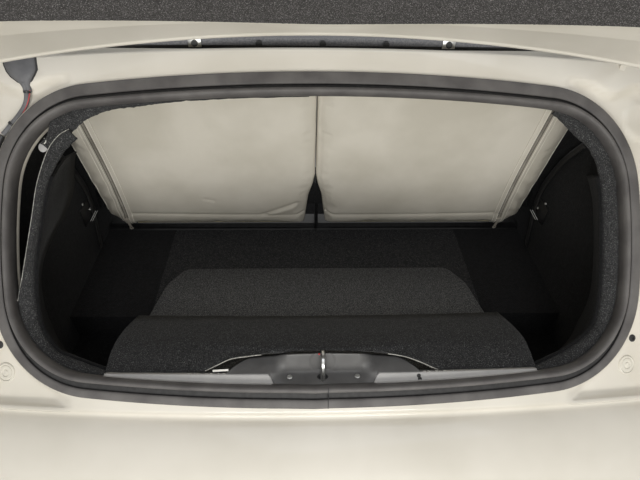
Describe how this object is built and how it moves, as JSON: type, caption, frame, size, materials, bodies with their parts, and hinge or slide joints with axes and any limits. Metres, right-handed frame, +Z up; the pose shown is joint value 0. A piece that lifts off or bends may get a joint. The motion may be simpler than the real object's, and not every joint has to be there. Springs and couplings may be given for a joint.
{
  "type": "car luggage compartment section",
  "caption": "Rear luggage compartment section of an small open car: painted opening with rubber seal, carpeted tub, hinged lid on gas struts, sill striker and folding seatbacks.",
  "frame": {"origin": "middle of the footprint, on the ground under the floor rails", "axes": "+X to the car's right, +Y towards the car's front, +Z up"},
  "size_m": [1.2358, 0.8901, 1.0707],
  "materials": {
    "body_paint": "ivory gloss paint with clear coat",
    "seal_rubber": "satin moulded rubber",
    "carpet": "dark needle-felt carpet with light flecks",
    "trim_plastic": "fine-grained mid-grey moulding",
    "dark_plastic": "fine-grained dark moulding",
    "plated_steel": "zinc-plated steel",
    "black_metal": "black coated steel",
    "seat_leather": "cream grained leather"
  },
  "bodies": {
    "car_body": {"bumper_beam": "black_metal", "corner_plug_left": "seal_rubber", "corner_plug_right": "seal_rubber", "deck_panel": "body_paint", "floor_board": "carpet", "floor_carpet": "carpet", "floor_pan": "body_paint", "floor_rail_left": "black_metal", "floor_rail_right": "black_metal", "harness_boot": "seal_rubber", "harness_cable": "dark_plastic", "harness_plug": "dark_plastic", "hinge_base_left": "body_paint", "hinge_base_right": "body_paint", "hood_rail": "black_metal", "hood_rail_bolts": "plated_steel", "hood_rail_bracket_left": "black_metal", "hood_rail_bracket_right": "black_metal", "liner_flange_left": "carpet", "liner_flange_right": "carpet", "opening_seal": "seal_rubber", "pivot_bracket": "black_metal", "pivot_pins": "plated_steel", "quarter_panel_left": "body_paint", "quarter_panel_right": "body_paint", "rear_carpet": "carpet", "rear_valance": "body_paint", "rear_wall": "body_paint", "seat_beam": "black_metal", "seat_side_brackets": "plated_steel", "side_carpet_left": "carpet", "side_carpet_right": "carpet", "side_panel_left": "body_paint", "side_panel_right": "body_paint", "sill_panel": "body_paint", "sill_trim": "trim_plastic", "striker": "plated_steel", "striker_cover": "dark_plastic", "strut_brackets": "plated_steel", "wheel_arch_left": "body_paint", "wheel_arch_right": "body_paint"},
    "lid": {"hinge_arm_left": "body_paint", "hinge_arm_right": "body_paint", "lid_handle": "body_paint", "lid_inner": "body_paint", "lid_latch": "dark_plastic", "lid_lining": "carpet", "lid_panel": "body_paint", "lid_studs": "plated_steel"},
    "seatback_left_body": {"seat_inner_plate_left": "plated_steel", "seat_outer_plate_left": "plated_steel", "seatback_left": "seat_leather"},
    "seatback_right_body": {"seat_inner_plate_right": "plated_steel", "seat_outer_plate_right": "plated_steel", "seatback_right": "seat_leather"},
    "strut_tube_left_body": {"strut_tube_left": "black_metal"},
    "strut_tube_right_body": {"strut_tube_right": "black_metal"},
    "strut_rod_left_body": {"strut_rod_left": "plated_steel"},
    "strut_rod_right_body": {"strut_rod_right": "plated_steel"}
  },
  "joints": [
    {"name": "lid_hinge", "type": "hinge", "parent": "car_body", "child": "lid", "pos_m": [0, 0.04489, 0.65853], "axis": [1, 0, 0], "range_deg": [0, 95]},
    {"name": "seatback_left_hinge", "type": "hinge", "parent": "car_body", "child": "seatback_left_body", "pos_m": [-0.25, 0.29, 0.215], "axis": [1, 0, 0], "range_deg": [-75, 0]},
    {"name": "strut_left_swing", "type": "hinge", "parent": "car_body", "child": "strut_tube_left_body", "pos_m": [-0.552, 0.04264, 0.53946], "axis": [1, 0, 0], "range_deg": [0, 95.5]},
    {"name": "strut_left_slide", "type": "slide", "parent": "strut_tube_left_body", "child": "strut_rod_left_body", "axis": [0, -0.6713, 0.7412], "range_m": [-0.17569, 0]},
    {"name": "seatback_right_hinge", "type": "hinge", "parent": "car_body", "child": "seatback_right_body", "pos_m": [0.25, 0.29, 0.215], "axis": [1, 0, 0], "range_deg": [-75, 0]},
    {"name": "strut_right_swing", "type": "hinge", "parent": "car_body", "child": "strut_tube_right_body", "pos_m": [0.552, 0.04264, 0.53946], "axis": [1, 0, 0], "range_deg": [0, 95.5]},
    {"name": "strut_right_slide", "type": "slide", "parent": "strut_tube_right_body", "child": "strut_rod_right_body", "axis": [0, -0.6713, 0.7412], "range_m": [-0.17569, 0]}
  ],
  "couplings": [
    {"joint": "strut_left_swing", "follows": "lid_hinge", "ratio": 1.0047},
    {"joint": "strut_left_slide", "follows": "lid_hinge", "m_per_rad": -0.1059},
    {"joint": "strut_right_swing", "follows": "lid_hinge", "ratio": 1.0047},
    {"joint": "strut_right_slide", "follows": "lid_hinge", "m_per_rad": -0.1059}
  ]
}
